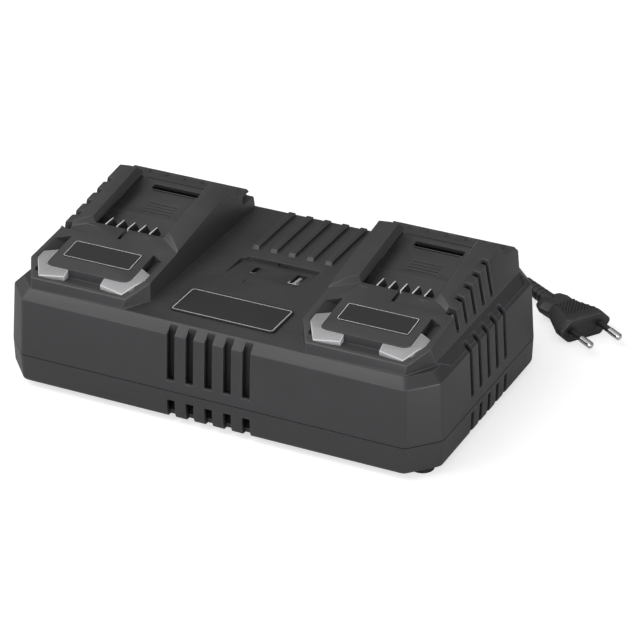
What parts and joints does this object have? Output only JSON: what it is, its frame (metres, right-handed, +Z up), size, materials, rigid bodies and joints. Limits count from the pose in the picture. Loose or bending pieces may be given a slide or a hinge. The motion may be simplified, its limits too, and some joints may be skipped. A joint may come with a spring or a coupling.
{
  "type": "power tool battery charger",
  "caption": "Desktop mains charger for slide-on tool batteries, with raised docks, a vented body, USB sockets, an inner fan and a coiled mains lead with a flat plug",
  "frame": {"origin": "on the table under the middle of the body's box, without the mains lead", "axes": "+X along the long side to the right dock, -Y the front, +Z up"},
  "size_m": [0.2845, 0.2379, 0.0827],
  "materials": {
    "shell": "satin",
    "plate": "satin",
    "rating_foil": "satin",
    "foot_rubber": "matte",
    "screw_steel": "satin",
    "label": "satin",
    "frost": "frosted",
    "block": "matte",
    "contact": "satin",
    "board": "satin",
    "socket_shell": "satin",
    "tongue_grey": "matte",
    "ferrite": "matte",
    "winding_tape": "gloss",
    "capacitor_sleeve": "gloss",
    "copper": "gloss",
    "yellow_case": "satin",
    "fuse_glass": "gloss",
    "sink": "satin",
    "package": "matte",
    "fan_plastic": "satin",
    "terminal_plastic": "satin",
    "cord_jacket": "satin",
    "lead_jacket": "satin",
    "clamp_steel": "satin",
    "tie_plastic": "satin",
    "plug_plastic": "satin",
    "pin_brass": "polished"
  },
  "bodies": {
    "charger": {"lower_case": "shell", "upper_case": "shell", "rubber_feet": "foot_rubber", "case_screws": "screw_steel", "name_plate": "plate", "rating_plate": "rating_foil", "pad_label_left": "label", "pad_label_right": "label", "guide_left_outer": "frost", "guide_left_inner": "frost", "guide_right_inner": "frost", "guide_right_outer": "frost", "contact_block_left": "block", "contact_block_right": "block", "contact_blades_left": "contact", "contact_blades_right": "contact", "led_board_left": "board", "led_board_right": "board", "led_board_screws": "screw_steel", "usb_a_shell": "socket_shell", "usb_a_tongue": "tongue_grey", "usb_c_shell": "socket_shell", "usb_c_tongue": "block", "usb_board": "board", "usb_board_screws": "screw_steel", "main_board": "board", "main_board_screws": "screw_steel", "transformer_core": "ferrite", "transformer_winding": "winding_tape", "bulk_capacitors": "capacitor_sleeve", "output_capacitors": "capacitor_sleeve", "choke_core": "ferrite", "choke_winding": "copper", "suppression_capacitor": "yellow_case", "fuse": "fuse_glass", "heatsink_primary": "sink", "heatsink_secondary": "sink", "power_switches": "package", "output_rectifiers": "package", "bridge_rectifier": "package", "control_chips": "package", "fan_frame": "fan_plastic", "mains_terminal": "terminal_plastic", "mains_leads": "cord_jacket", "dock_leads_left": "lead_jacket", "dock_leads_right": "lead_jacket", "usb_leads": "lead_jacket", "fan_leads": "lead_jacket", "strain_relief": "cord_jacket", "cord_clamp": "clamp_steel", "clamp_screws": "screw_steel", "mains_cord": "cord_jacket", "cord_coil": "cord_jacket", "cord_tail": "cord_jacket", "coil_tie": "tie_plastic", "plug_body": "plug_plastic", "plug_pins": "pin_brass", "pin_sleeves": "block"},
    "rotor": {"fan_rotor": "fan_plastic"}
  },
  "joints": [
    {"name": "fan_spin", "type": "hinge", "parent": "charger", "child": "rotor", "pos_m": [0.112, 0, 0.02808], "axis": [1, 0, 0], "continuous": true}
  ]
}
